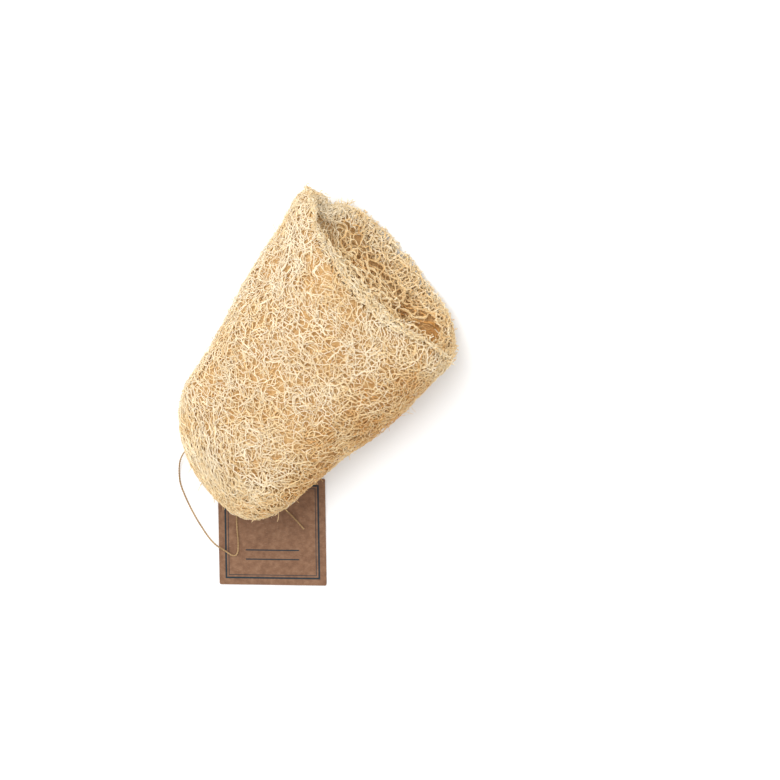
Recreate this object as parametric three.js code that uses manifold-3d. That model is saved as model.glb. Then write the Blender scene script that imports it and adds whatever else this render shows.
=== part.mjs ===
// A natural loofah sponge lying on its side, with the plain card tag that is tied to it.
// Millimetres, +Z up. The origin is on the flat spot that the sponge rests on, and +X runs
// along the sponge to its wide, cut end.
import * as THREE from 'three';
import { mergeVertices } from 'three/addons/utils/BufferGeometryUtils.js';
import Module from 'manifold-3d';

const wasm = await Module();
wasm.setup();
const { clamp, lerp, smoothstep, degToRad } = THREE.MathUtils;

// Driving dimensions of the sponge
const LENGTH = 138; // closed end to the middle of the cut end
const WIDE_WIDTH = 108; // across the cut end
const NARROW_WIDTH = 70; // across the sponge before its closed end rounds over
const WIDE_HEIGHT = 58; // thickness at the cut end
const NARROW_HEIGHT = 44; // thickness before the closed end rounds over
const DOME_LENGTH = 42; // stretch over which the closed end rounds over
const DOME_SIDE_SHIFT = -14.5; // how far the closed end leans to one side
const SIDE_BEND = -3.6; // how far the middle of the sponge bows the same way
const DOME_FULLNESS = 2.3; // 2 is an elliptical end, more is a blunter one
const SECTION_FULLNESS = 2.3; // 2 is an elliptical section, more is a boxier one
const CUT_ANGLE = 8.5; // degrees that the cut end is turned round Z
const CUT_LEAN = 17; // degrees that it leans back from its lower edge to its upper one
const CUT_INSET = 3.5; // the cut's middle, short of the full length
const PRESSED_FLAT = 0.8; // how much of the underside is pressed off by its own weight
const FLAT_SPOT = 9; // radius of the flat spot round the origin
const FLAT_SPOT_STEEPNESS = 4; // how quickly the spot ends where the underside curves up

// Slow swells of the skin: height, waves round, turn along each millimetre, and phase
const SWELLS = [
  [1, 3, 0.035, 0.6],
  [0.7, 5, -0.05, 2.1],
  [0.6, 2, 0.09, -1.5],
];

// The raised net of strands over the sponge
const CELLS_AROUND = 25;
const ROW_PITCH = 8.4;
const FIRST_ROW = 11; // from the tip of the closed end to the first row of cells
const ROW_OVERRUN = 9; // net past the cut, which the cut takes off
const CELL_JITTER = 0.3; // share of a cell by which its middle is moved
const NET_DEPTH = 1.8; // strand crest to the edge of a cell's floor
const CELL_DISH = 1.5; // how much deeper the middle of the floor lies
const STRAND_SHARE = 0.26; // share of the way from a cell's edge to its middle
const CREST_JITTER = 0.5; // how unevenly the strands stand out

// The two seed hollows that the cut end shows
const HOLLOW_OFFSET = 0.6; // middle of a hollow, as a share of the half width
const HOLLOW_HALF_WIDTH = 0.24; // share of the half width
const HOLLOW_HALF_HEIGHT = 0.5; // share of the half height
const HOLLOW_END_X = -22; // where the hollows close inside the sponge
const HOLLOW_TIP = 0.12; // how wide a hollow is at its closed end
const HOLLOW_FLARE = 2.6; // how soon it opens to its full width
const HOLLOW_CROWDING = 1.4; // above 1, its rings lie closer at the closed end
const HOLLOW_SIDES = 16;
const HOLLOW_STATIONS = 7;

// The spongy pores of the cut face
const PORE_PITCH = 7.6;
const PORE_JITTER = 0.18;
const PORE_RADIUS = 2.7; // in the cut face
const PORE_WALL = 1; // left between a pore and the rim or a hollow
const PORE_DEPTH = 4;
const PORE_SIDES = 6;

// The card tag, its twine and the knot at its hole
const TAG_SIZE = 52;
const TAG_THICKNESS = 0.8;
const TAG_CORNER = 0.8;
const TAG_HOLE_RADIUS = 1.9;
const TAG_HOLE_INSET = 6;
const TAG_CENTRE = [-70.4, -41.5];
const TAG_TURN = -48.9; // degrees from +X to the tag's lower edge
const TWINE_DIAMETER = 0.8;
const TWINE_SIDES = 8;
const TWINE_STEP = 1.9;
const KNOT_RADIUS = 1.5; // over its turns
const KNOT_WAIST = 1.2; // between its two turns
const KNOT_NECK = 0.8; // at either end
const KNOT_HALF_LENGTH = 1.4;
const KNOT_SIDES = 12;
const KNOT_TURN = 53; // degrees, to the line that the twine comes in on
const GAP = 0.3; // between solids that touch
const LIFT = 0.1; // of the twine and the knot above the surface

const FINE_STEPS = 400; // in which lengths along a line are added up
const SLIGHT = 0.002; // step to either side for a slope
const WELD = 1e-4; // corners closer than this are one
const closedEnd = -LENGTH / 2 - 2;
const cutEnd = closedEnd + LENGTH;
const domeStart = closedEnd + DOME_LENGTH;

// Seeded draws between -1 and 1, the same on every run
function seededDraws(seed) {
  let state = seed;
  return () => {
    state = (state * 1664525 + 1013904223) % 4294967296;
    return (state / 4294967296) * 2 - 1;
  };
}

// Half width, half height and middle of the sponge at x. It widens along its length, half
// evenly and half in a slow wave, and closes in a blunt dome that leans to one side.
function sectionAt(x) {
  const along = clamp((x - closedEnd) / LENGTH, 0, 1);
  const widening = along / 2 + (1 - Math.cos(Math.PI * along)) / 4;
  const rounding = clamp((domeStart - x) / DOME_LENGTH, 0, 1);
  const closing = (1 - rounding ** DOME_FULLNESS) ** (1 / DOME_FULLNESS);
  const fullHalfHeight = lerp(NARROW_HEIGHT, WIDE_HEIGHT, widening) / 2;
  return {
    halfWidth: (lerp(NARROW_WIDTH, WIDE_WIDTH, widening) / 2) * closing,
    halfHeight: fullHalfHeight * closing,
    y: DOME_SIDE_SHIFT * rounding ** 2 + SIDE_BEND * Math.sin(Math.PI * along),
    z: fullHalfHeight - PRESSED_FLAT,
    closing,
  };
}

function swell(angle, x) {
  return SWELLS.reduce((sum, [height, waves, turn, phase]) => {
    return sum + height * Math.cos(waves * angle + turn * x + phase);
  }, 0);
}

// A point of the smooth skin at an angle round the section and at x
function skinPoint(angle, x) {
  const s = sectionAt(x);
  const out = swell(angle, x) * s.closing;
  const power = 2 / SECTION_FULLNESS;
  const c = Math.cos(angle);
  const n = Math.sin(angle);
  const across = Math.sign(c) * Math.abs(c) ** power;
  const up = Math.sign(n) * Math.abs(n) ** power;
  return new THREE.Vector3(x, s.y + (s.halfWidth + out) * across, s.z + (s.halfHeight + out) * up);
}

// The whole length of a line, and the value of its parameter after a length along it
function measured(lineAt, from, to) {
  const marks = [{ at: from, length: 0 }];
  let last = lineAt(from);
  for (let i = 1; i <= FINE_STEPS; i += 1) {
    const at = lerp(from, to, i / FINE_STEPS);
    const point = lineAt(at);
    marks.push({ at, length: marks[i - 1].length + point.distanceTo(last) });
    last = point;
  }
  const after = (length) => {
    const i = Math.max(1, marks.findIndex((mark) => mark.length >= length));
    const part = (length - marks[i - 1].length) / (marks[i].length - marks[i - 1].length);
    return lerp(marks[i - 1].at, marks[i].at, part);
  };
  return { whole: marks[FINE_STEPS].length, after };
}

// Triangles to a closed geometry whose corners are shared
function geometryOf(triangles) {
  const geometry = new THREE.BufferGeometry().setFromPoints(triangles);
  return mergeVertices(geometry, WELD);
}

function solidOf(geometry) {
  const bare = geometry.clone();
  bare.deleteAttribute('normal');
  bare.deleteAttribute('uv');
  const merged = mergeVertices(bare, WELD);
  return new wasm.Manifold(
    new wasm.Mesh({
      numProp: 3,
      vertProperties: merged.attributes.position.array,
      triVerts: new Uint32Array(merged.index.array),
    }),
  );
}

function geometryFromSolid(solid) {
  const { vertProperties, triVerts } = solid.getMesh();
  const geometry = new THREE.BufferGeometry();
  geometry.setAttribute('position', new THREE.BufferAttribute(vertProperties, 3));
  geometry.setIndex(new THREE.BufferAttribute(triVerts, 1));
  geometry.computeVertexNormals();
  return geometry;
}

// The skin's rim and its profile, measured so that the cells lie evenly on both
const rim = measured((angle) => skinPoint(angle, 0), 0, 2 * Math.PI);
const profile = measured(
  (x) => new THREE.Vector2(x, (sectionAt(x).halfWidth + sectionAt(x).halfHeight) / 2),
  closedEnd,
  cutEnd + 2 * ROW_OVERRUN + ROW_PITCH,
);

// A point of the skin a share of the way round and a length along, sunk along its normal.
// Round the origin the skin is pressed flat, and nothing lies lower than that.
function netPoint(share, length, depth) {
  const turns = Math.floor(share);
  const skin = (s, l) => {
    const angle = 2 * Math.PI * turns + rim.after((s - turns) * rim.whole);
    return skinPoint(angle, profile.after(l));
  };
  const inTurn = clamp(share, turns + SLIGHT, turns + 1 - SLIGHT);
  const round = skin(inTurn + SLIGHT, length).sub(skin(inTurn - SLIGHT, length));
  const along = skin(share, length + 1).sub(skin(share, length - 1));
  const outward = round.cross(along).normalize();
  const point = skin(share, length);
  const spot = Math.hypot(point.x, point.y, FLAT_SPOT_STEEPNESS * point.z);
  const relief = smoothstep(spot, FLAT_SPOT, 2 * FLAT_SPOT);
  point.addScaledVector(outward, -depth * relief * sectionAt(point.x).closing);
  point.z = Math.max(point.z * relief, 0);
  return point;
}

// The net: staggered cells whose middles are moved at random. Each corner of a cell is the
// mean of three neighbouring middles, strands run along the edges and the floors are sunk.
function netSkin() {
  const draw = seededDraws(7);
  const rows = Math.round((profile.whole - FIRST_ROW - ROW_OVERRUN) / ROW_PITCH);
  const moved = new Map();
  for (let row = -1; row <= rows; row += 1) {
    for (let column = 0; column < CELLS_AROUND; column += 1) {
      const around = draw() * CELL_JITTER;
      const along = draw() * CELL_JITTER;
      moved.set(`${column},${row}`, { around, along, crest: draw() });
    }
  }
  const wrap = (column) => ((column % CELLS_AROUND) + CELLS_AROUND) % CELLS_AROUND;
  const middle = (column, row) => {
    const m = moved.get(`${wrap(column)},${row}`);
    const stagger = row % 2 === 0 ? 0 : 0.5;
    const edgeRow = row <= 0 || row >= rows - 1;
    return new THREE.Vector3(
      (column + stagger + m.around) / CELLS_AROUND,
      FIRST_ROW + (row + (edgeRow ? 0 : m.along)) * ROW_PITCH,
      m.crest,
    );
  };
  const placed = (p, depth) => netPoint(p.x, p.y, depth);
  const triangles = [];
  const caps = { first: [], last: [] };
  for (let row = 0; row < rows; row += 1) {
    const shift = row % 2 === 0 ? 0 : 1;
    for (let column = 0; column < CELLS_AROUND; column += 1) {
      const neighbours = [
        [column + 1, row],
        [column + shift, row + 1],
        [column + shift - 1, row + 1],
        [column - 1, row],
        [column + shift - 1, row - 1],
        [column + shift, row - 1],
      ].map(([c, r]) => middle(c, r));
      const own = middle(column, row);
      const corners = neighbours.map((n, k) => {
        const next = neighbours[(k + 1) % 6];
        return new THREE.Vector3().add(own).add(n).add(next).divideScalar(3);
      });
      const crests = corners.map((corner) => placed(corner, (1 + corner.z) * CREST_JITTER));
      const floors = corners.map((corner) => {
        return placed(corner.clone().lerp(own, STRAND_SHARE), NET_DEPTH);
      });
      const dish = placed(own, NET_DEPTH + CELL_DISH);
      for (let k = 0; k < 6; k += 1) {
        const next = (k + 1) % 6;
        triangles.push(crests[k], crests[next], floors[next]);
        triangles.push(crests[k], floors[next], floors[k]);
        triangles.push(floors[k], floors[next], dish);
      }
      if (row === 0) {
        caps.first.push(crests[3], crests[4], crests[4], crests[5]);
      }
      if (row === rows - 1) {
        caps.last.push(crests[0], crests[1], crests[1], crests[2]);
      }
    }
  }
  Object.values(caps).forEach((edge) => {
    const hub = edge.reduce((sum, p) => sum.add(p), new THREE.Vector3()).divideScalar(edge.length);
    for (let i = 0; i < edge.length; i += 2) {
      triangles.push(edge[i + 1], edge[i], hub);
    }
  });
  return geometryOf(triangles);
}

// A closed tube through rings of points, with a fan over each end
function loft(rings) {
  const sides = rings[0].length;
  const triangles = [];
  for (let r = 0; r + 1 < rings.length; r += 1) {
    for (let k = 0; k < sides; k += 1) {
      const next = (k + 1) % sides;
      triangles.push(rings[r][k], rings[r + 1][next], rings[r][next]);
      triangles.push(rings[r][k], rings[r + 1][k], rings[r + 1][next]);
    }
  }
  const last = rings.length - 1;
  for (let k = 1; k + 1 < sides; k += 1) {
    triangles.push(rings[0][0], rings[0][k], rings[0][k + 1]);
    triangles.push(rings[last][0], rings[last][k + 1], rings[last][k]);
  }
  return geometryOf(triangles);
}

// A seed hollow on one side: an oval that follows the sponge's section and closes roundly
function seedHollow(side) {
  const rings = [];
  for (let i = 0; i < HOLLOW_STATIONS; i += 1) {
    const share = i / (HOLLOW_STATIONS - 1);
    const x = lerp(HOLLOW_END_X, cutEnd + 2 * ROW_OVERRUN, share ** HOLLOW_CROWDING);
    const s = sectionAt(x);
    const opening = Math.sqrt(Math.min(1, HOLLOW_TIP + HOLLOW_FLARE * share));
    const ring = [];
    for (let k = 0; k < HOLLOW_SIDES; k += 1) {
      const angle = (k / HOLLOW_SIDES) * 2 * Math.PI;
      const y = s.y + side * HOLLOW_OFFSET * s.halfWidth;
      const across = HOLLOW_HALF_WIDTH * s.halfWidth * opening * Math.cos(angle);
      const up = HOLLOW_HALF_HEIGHT * s.halfHeight * opening * Math.sin(angle);
      ring.push(new THREE.Vector3(x, y + across, s.z + up));
    }
    rings.push(ring);
  }
  return loft(rings.reverse());
}

// A pore of the cut face: a cone that points along the sponge, half of it sunk in the face
function pore(x, y, z, turn) {
  const cone = new THREE.ConeGeometry(2 * PORE_RADIUS, 2 * PORE_DEPTH, PORE_SIDES);
  cone.rotateY(turn);
  cone.rotateZ(Math.PI / 2);
  return cone.translate(x, y, z);
}

// Where the slanted, leaning cut meets a point across and up the sponge
function cutX(y, z) {
  const slant = y * Math.tan(degToRad(CUT_ANGLE));
  const lean = (z - WIDE_HEIGHT / 2) * Math.tan(degToRad(CUT_LEAN));
  return cutEnd - CUT_INSET + slant - lean;
}

// True where a pore fits in the cut face, clear of its rim and of both hollows
function poreFits(y, z) {
  const s = sectionAt(cutEnd);
  const clear = PORE_RADIUS + PORE_WALL;
  const up = z - s.z;
  const inRim = Math.hypot(y / (s.halfWidth - clear), up / (s.halfHeight - clear)) < 1;
  const across = Math.abs(y) - HOLLOW_OFFSET * s.halfWidth;
  const wide = HOLLOW_HALF_WIDTH * s.halfWidth + clear;
  const high = HOLLOW_HALF_HEIGHT * s.halfHeight + clear;
  return inRim && Math.hypot(across / wide, up / high) > 1;
}

function cutPores() {
  const draw = seededDraws(31);
  const pores = [];
  const reach = Math.ceil(WIDE_WIDTH / 2 / PORE_PITCH);
  for (let column = -reach; column <= reach; column += 1) {
    for (let row = 0; row * PORE_PITCH < WIDE_HEIGHT; row += 1) {
      const y = (column + (row % 2) / 2 + PORE_JITTER * draw()) * PORE_PITCH;
      const z = (row + 0.5 + PORE_JITTER * draw()) * PORE_PITCH;
      const turn = draw() * Math.PI;
      if (poreFits(y, z)) {
        pores.push(pore(cutX(y, z), y, z, turn));
      }
    }
  }
  return pores;
}

// The sponge: the net's skin, cut off at its wide end, with the hollows and pores taken out
function loofahGeometry() {
  const block = 3 * LENGTH;
  const keep = new THREE.BoxGeometry(block, block, block);
  keep.translate(-block / 2, 0, 0);
  const outward = new THREE.Vector3(1, -Math.tan(degToRad(CUT_ANGLE)), Math.tan(degToRad(CUT_LEAN)));
  const ahead = new THREE.Vector3(1, 0, 0);
  keep.applyQuaternion(new THREE.Quaternion().setFromUnitVectors(ahead, outward.normalize()));
  keep.translate(cutX(0, 0), 0, 0);
  let sponge = solidOf(netSkin()).intersect(solidOf(keep));
  [-1, 1].forEach((side) => {
    sponge = sponge.subtract(solidOf(seedHollow(side)));
  });
  cutPores().forEach((cone) => {
    sponge = sponge.subtract(solidOf(cone));
  });
  return geometryFromSolid(sponge);
}

// The tag's outline, with its corners rounded, and its punched hole
function tagGeometry() {
  const half = TAG_SIZE / 2;
  const inner = half - TAG_CORNER;
  const outline = new THREE.Shape();
  outline.absarc(inner, inner, TAG_CORNER, 0, Math.PI / 2);
  outline.absarc(-inner, inner, TAG_CORNER, Math.PI / 2, Math.PI);
  outline.absarc(-inner, -inner, TAG_CORNER, Math.PI, 1.5 * Math.PI);
  outline.absarc(inner, -inner, TAG_CORNER, 1.5 * Math.PI, 2 * Math.PI);
  const hole = new THREE.Path();
  hole.absarc(0, half - TAG_HOLE_INSET, TAG_HOLE_RADIUS, 0, 2 * Math.PI, true);
  outline.holes.push(hole);
  return new THREE.ExtrudeGeometry(outline, {
    depth: TAG_THICKNESS,
    bevelEnabled: false,
    curveSegments: 6,
  });
}

// The twine's middle line, from under the sponge's closed end over the surface and the tag
const floorHeight = TWINE_DIAMETER / 2 + LIFT;
const tagHeight = TAG_THICKNESS + GAP + TWINE_DIAMETER / 2;
const knotHeight = KNOT_RADIUS + LIFT;
const TWINE_ROUTE = [
  [-59.85, 11.3, 12.65],
  [-61.4, 12.7, 11.2],
  [-63.1, 13.9, 9.4],
  [-65.2, 14.8, 7.4],
  [-67.9, 15.2, 5.4],
  [-71.1, 14.8, 3.6],
  [-74.4, 13.6, 2],
  [-78.2, 11, 0.9],
  [-82, 7.2, floorHeight],
  [-84.8, 2.4, floorHeight],
  [-87.5, -3.3, floorHeight],
  [-89.8, -9.1, floorHeight],
  [-91.5, -14.3, floorHeight],
  [-92.9, -19.3, floorHeight],
  [-93.5, -22.8, floorHeight + LIFT],
  [-93.4, -25.8, tagHeight - LIFT],
  [-92.9, -28.4, tagHeight],
  [-92.5, -31.2, tagHeight],
  [-92.2, -33.8, tagHeight],
  [-91.2, -35.5, tagHeight],
  [-89.4, -35.6, tagHeight],
  [-87.3, -34.3, tagHeight],
  [-84.2, -31.6, tagHeight],
  [-80.8, -28.2, tagHeight],
  [-77, -24.7, tagHeight],
  [-72.8, -22, tagHeight],
  [-68, -21.2, tagHeight],
  [-63.2, -22.7, tagHeight],
  [-59.7, -25.1, tagHeight],
  [-56.7, -27.3, knotHeight],
];

function twineGeometry() {
  const curve = new THREE.CatmullRomCurve3(
    TWINE_ROUTE.map(([x, y, z]) => new THREE.Vector3(x, y, z)),
  );
  const section = new THREE.Shape();
  section.absarc(0, 0, TWINE_DIAMETER / 2, 0, 2 * Math.PI);
  const steps = Math.round(curve.getLength() / TWINE_STEP);
  return new THREE.ExtrudeGeometry(section, {
    extrudePath: curve,
    steps,
    curveSegments: TWINE_SIDES / 2,
    bevelEnabled: false,
  });
}

// The knot: two turns of twine side by side, round the line that the twine comes in on
function knotGeometry() {
  const outline = [
    [0, -KNOT_HALF_LENGTH],
    [KNOT_NECK, -KNOT_HALF_LENGTH + LIFT],
    [KNOT_RADIUS, -KNOT_HALF_LENGTH / 2],
    [KNOT_WAIST, 0],
    [KNOT_RADIUS, KNOT_HALF_LENGTH / 2],
    [KNOT_NECK, KNOT_HALF_LENGTH - LIFT],
    [0, KNOT_HALF_LENGTH],
  ];
  return new THREE.LatheGeometry(outline.map(([r, h]) => new THREE.Vector2(r, h)), KNOT_SIDES);
}

const fibre = new THREE.MeshStandardMaterial({ color: 0xe8d2a4, roughness: 0.85, metalness: 0 });
const kraft = new THREE.MeshStandardMaterial({ color: 0x8d6b54, roughness: 0.9, metalness: 0 });
const jute = new THREE.MeshStandardMaterial({ color: 0xa88f6c, roughness: 0.9, metalness: 0 });

function named(name, geometry, material) {
  const mesh = new THREE.Mesh(geometry, material);
  mesh.name = name;
  return mesh;
}

const loofah = named('loofah', loofahGeometry(), fibre);

// The tag lies flat, and the knot sits in the mouth of its hole
const tagTurn = degToRad(TAG_TURN);
const holeReach = TAG_SIZE / 2 - TAG_HOLE_INSET;
const tag = named('card_tag', tagGeometry(), kraft);
tag.position.set(TAG_CENTRE[0], TAG_CENTRE[1], 0);
tag.rotation.z = tagTurn;

const knot = named('twine_knot', knotGeometry(), jute);
knot.position.set(
  TAG_CENTRE[0] - holeReach * Math.sin(tagTurn),
  TAG_CENTRE[1] + holeReach * Math.cos(tagTurn),
  knotHeight,
);
knot.rotation.z = degToRad(KNOT_TURN);

const twine = named('twine', twineGeometry(), jute);

const part = new THREE.Group();
part.add(loofah, tag, twine, knot);

export default part;
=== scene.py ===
"""A natural loofah sponge with a card tag on twine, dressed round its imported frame.

Shapes are worked out in millimetres, in the frame's axes, and put into the meshes in metres.
The sponge is layers of fibre nets. Each net lies on a surface that is laid flat on a disc,
where scattered points give its cells, and its strands are carried back onto the surface.
"""

import math

import bpy
import numpy as np
from mathutils import Matrix, Vector
from mathutils.geometry import delaunay_2d_cdt


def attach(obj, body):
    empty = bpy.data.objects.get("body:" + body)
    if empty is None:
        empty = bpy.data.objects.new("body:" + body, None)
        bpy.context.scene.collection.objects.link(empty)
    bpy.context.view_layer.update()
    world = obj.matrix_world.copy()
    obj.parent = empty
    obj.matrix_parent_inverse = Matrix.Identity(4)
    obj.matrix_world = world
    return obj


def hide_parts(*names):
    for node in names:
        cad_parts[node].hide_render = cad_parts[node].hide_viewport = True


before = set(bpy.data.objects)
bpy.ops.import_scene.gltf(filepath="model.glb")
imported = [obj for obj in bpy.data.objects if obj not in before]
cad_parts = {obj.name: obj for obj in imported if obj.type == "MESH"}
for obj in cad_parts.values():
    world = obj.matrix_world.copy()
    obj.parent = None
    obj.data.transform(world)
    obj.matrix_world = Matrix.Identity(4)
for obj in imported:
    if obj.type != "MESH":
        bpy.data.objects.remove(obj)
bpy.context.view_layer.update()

MM = 0.001
TURN = 2 * math.pi

# The sponge's form, as its solid has it
LENGTH = 138
WIDE_WIDTH = 108
NARROW_WIDTH = 70
WIDE_HEIGHT = 58
NARROW_HEIGHT = 44
DOME_LENGTH = 42
DOME_SIDE_SHIFT = -14.5
SIDE_BEND = -3.6
DOME_FULLNESS = 2.3
SECTION_FULLNESS = 2.3
CUT_ANGLE = math.radians(8.5)
CUT_INSET = 3.5
PRESSED_FLAT = 0.8
SWELLS = ((1, 3, 0.035, 0.6), (0.7, 5, -0.05, 2.1), (0.6, 2, 0.09, -1.5))
TIP_OFFSET = 2  # how far the closed tip lies past half the length
CLOSED_END = -LENGTH / 2 - TIP_OFFSET
CUT_END = CLOSED_END + LENGTH
DOME_START = CLOSED_END + DOME_LENGTH

# The uneven cut: it leans back, most in its middle, stands out there and at one corner, and is
# notched near the other
LEAN_SIDES = 0.05
LEAN_MIDDLE = 0.36
CUT_BULGE = 1.6
LOBE_HEIGHT = 4.5
LOBE_MIDDLE = -40
LOBE_WIDTH = 13
NOTCH_DEPTH = 3.2
NOTCH_MIDDLE = 39.3
NOTCH_WIDTH = 3.6
NOTCH_HEIGHTS = (-26, -14)
FOLD_REACH = 3.8
FOLD_SIDES = (35, 44)
FOLD_HEIGHTS = (16, 36)

# The skin rounds over into the cut, deeper and over a longer stretch along the upper rim
LIP_DEPTH = 2.2
LIP_LENGTH = 8
UPPER_LIP_DEPTH = 5
UPPER_LIP_LENGTH = 14
UPPER_LIP_HEIGHTS = (30, 48)

# The seed hollows: shares of the half width and half height, then lengths
HOLLOW_OFFSET = 0.62
HOLLOW_HALF_WIDTH = 0.17
HOLLOW_HALF_HEIGHT = 0.33
HOLLOW_FLARE = 0.15
HOLLOW_FLARE_LENGTH = 9
HOLLOW_LENGTH = 46
LINING_SPREAD = 0.4

# The cut end: a wall round it, and a web that lies deeper towards the lower wall
WALL = 7
CORNER_WALL = 12
WEB_RECESS = 9
WEB_RECESS_SIDES = (-40, -14)
CUP_EDGE = (-1.25, -0.9)  # reaches, taken below 0, between which the cup sets in
DISH_EDGE = (-1.9, -1)  # and the dish round a hollow

# The core of the fibre mass, under the nets and behind the web
CORE_DEPTH = 3.2
CORE_EDGE = 2.5
CORE_SETBACK = 5
CORE_RECESS_SHARE = 1.3
CORE_HOLLOW_DEPTH = 42
CORE_HOLLOW_EDGE = (-1.3, -1.05)
CORE_DISH_DEPTH = 4
CORE_FLOOR = 1.5
CORE_TIP = 4
CORE_COLUMNS = 160
CORE_ROWS = 64
CORE_FINE_ROWS = 500
CORE_FACE_SPAN = (0.985, 0.002)  # from the rim to the middle of the end

# Laying a surface flat: where its tip starts, the steps along and round it, and its least girth
CHART_TIP = 0.3
CHART_STEPS = 2000
PROFILE_STEPS = 4000
ROUND_STEPS = 721
LEAST_GIRTH = 0.5

# Cells of the nets, in pitches
ROW_SHARE = math.sqrt(0.75)  # distance of the rows of an even net
CELL_JITTER = 0.42
WEB_JITTER = 0.4
WEB_ROUGHNESS = 0.16
TIP_CLEARANCE = 0.2
LONGEST_SIDE = 2.2  # the greatest distance between neighbouring cells

# Fibres that run along the nets
FIBRE_SIDES = 3
FIBRE_STEPS = 9
WANDER = 0.35
MOMENTUM = 0.6
SKIN_TANGLE = 0.3
SKIN_STRAIGHT = 0.4
WEB_TANGLE = 0.25
NORMAL_SPREAD = 0.1
THICKNESSES = (0.65, 1.35)
TONE_SPREAD = 0.16
END_TAPER = 0.35
TAPER_POWER = 6
FLOOR_GAP = 0.05

# The nets of the skin run on past the cut, which ends them raggedly
NET_OVERRUN = 26
NET_MARGIN = 6
RAGGED_CUT = (-0.8, 1.2)

# Slow waves that lift the nets, and others that thin them in patches
LIFT_SIZE = 26
LIFT_WAVES = 7
LIFT_SHARE = 0.6
LIFT_TONE = 0.06
OPEN_SIZE = 24
OPEN_WAVES = 9
OPEN_SEED = 51
OPEN_THINNING = 0.2
LEAST_DENSITY = 0.3

# The nets are denser at the corners of the cut and on the closed end, and thinner on the lip
CORNER_SIDES = (36, 46)
CORNER_STRETCH = (-16, -8)
CLOSED_END_STRETCH = (40, 64)
CLOSED_END_DENSITY = 1.8
LIP_STRETCH = (-5, -1)
LIP_THINNING = 0.6

# Parts of the cut end, from its middle to its wall and beyond, and how far its nets keep inside it
WEB_REACH = (0, 1.1)
RIM_REACH = (0.96, 3)
CORNER_REACH = (0.9, 3)
CORNER_SIDE = 30
WEB_INSET = LIP_DEPTH / 2
WEB_UPPER_INSET = 0.7 * UPPER_LIP_DEPTH

# Cut fibre ends along the rim, with a tuft on its lower edge, and loose ends on the skin
STRAY_POINTS = 5
STRAY_JITTER = 0.5
STRAY_THICKNESSES = (0.6, 1.4)
STRAY_TONE_SPREAD = 0.15
FRINGE_COUNT = 1000
FRINGE_PITCH = 0.9
FRINGE_STRETCH = 2.5
FRINGE_SCATTER = 0.55
FRINGE_OUTWARDS = 0.25
FRINGE_LENGTHS = (0.6, 1.6)
TUFT = (75, 34.5, 7)
TUFT_SIZE = 4.5
TUFT_LENGTH = 1.8
LOOSE_COUNT = 420
LOOSE_PITCH = 3
LOOSE_OUTWARDS = 0.7
LOOSE_LENGTHS = (1.5, 5)
LOOSE_ROOT = 0.6

# Where the fibre is warmer, and how much: on one flank, less so near the cut, as painted shade for that
# side, and at the closed end
SHADED_FLANK = (-20, -50)
FLANK_SHADE = 0.56
FLANK_SHADE_FADE = (20, 55)
FADED_SHADE_SHARE = 0.32
WARM_CLOSED_END = (-45, -70)
CLOSED_END_WARMTH = 0.25

# Tag and twine, as their solids have them
TAG_SIZE = 52
TAG_HOLE_INSET = 6
TAG_CENTRE = (-70.4, -41.5)
TAG_TURN = math.radians(-48.9)
TWINE_DIAMETER = 0.8
ON_FLOOR = 0.5
ON_TAG = 1.5
KNOT_HEIGHT = 1.6
TWINE_ROUTE = (
    (-59.85, 11.3, 12.65),
    (-61.4, 12.7, 11.2),
    (-63.1, 13.9, 9.4),
    (-65.2, 14.8, 7.4),
    (-67.9, 15.2, 5.4),
    (-71.1, 14.8, 3.6),
    (-74.4, 13.6, 2),
    (-78.2, 11, 0.9),
    (-82, 7.2, ON_FLOOR),
    (-84.8, 2.4, ON_FLOOR),
    (-87.5, -3.3, ON_FLOOR),
    (-89.8, -9.1, ON_FLOOR),
    (-91.5, -14.3, ON_FLOOR),
    (-92.9, -19.3, ON_FLOOR),
    (-93.5, -22.8, ON_FLOOR + 0.1),
    (-93.4, -25.8, ON_TAG - 0.1),
    (-92.9, -28.4, ON_TAG),
    (-92.5, -31.2, ON_TAG),
    (-92.2, -33.8, ON_TAG),
    (-91.2, -35.5, ON_TAG),
    (-89.4, -35.6, ON_TAG),
    (-87.3, -34.3, ON_TAG),
    (-84.2, -31.6, ON_TAG),
    (-80.8, -28.2, ON_TAG),
    (-77, -24.7, ON_TAG),
    (-72.8, -22, ON_TAG),
    (-68, -21.2, ON_TAG),
    (-63.2, -22.7, ON_TAG),
    (-59.7, -25.1, ON_TAG),
    (-56.7, -27.3, KNOT_HEIGHT),
)

# The loose tail beyond the knot, and the twine's plies and knots
TAIL_ROUTE = (
    (-55.6, -28.9, KNOT_HEIGHT + 0.6),
    (-55.9, -32, 2.4),
    (-56.9, -36, 1.7),
    (-57.7, -40, ON_TAG),
    (-58, -45.1, ON_TAG),
    (-58.9, -52.2, ON_TAG - 0.1),
)
TWIST = 2.6  # length of one turn of the twine's two plies
TWINE_STEP = 0.26
ROUTE_STEPS = 12
PLY_SIDES = 7
PLY_RADIUS = TWINE_DIAMETER / 4 * 1.12  # a little fuller than a quarter, so that the plies meet
KNOT_POINTS = 40
KNOT_SIZE = 0.36
TIE_SIZE = 0.3

# The tag's print: the middle and half width of each border line, and two rules across it
BORDER_LINES = ((22.6, 0.42), (21.2, 0.16))
RULES = (-9, -13.5)
RULE_HALF_WIDTH = 0.3
RULE_HALF_LENGTH = 13
PRINT_EDGE = 0.06
PRINTED_FACE = (0.6, 0.7)  # heights between which the print sets in

# The camera looks down on the sponge, tilted towards its cut end
CAMERA_TILT = math.radians(12)
CAMERA_ROLL = math.atan2(0.755, 0.656)
CAMERA_AIM = (25.2, -39.6, 25)
CAMERA_DISTANCE = 2500
CAMERA_LENS = 244.6

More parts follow.
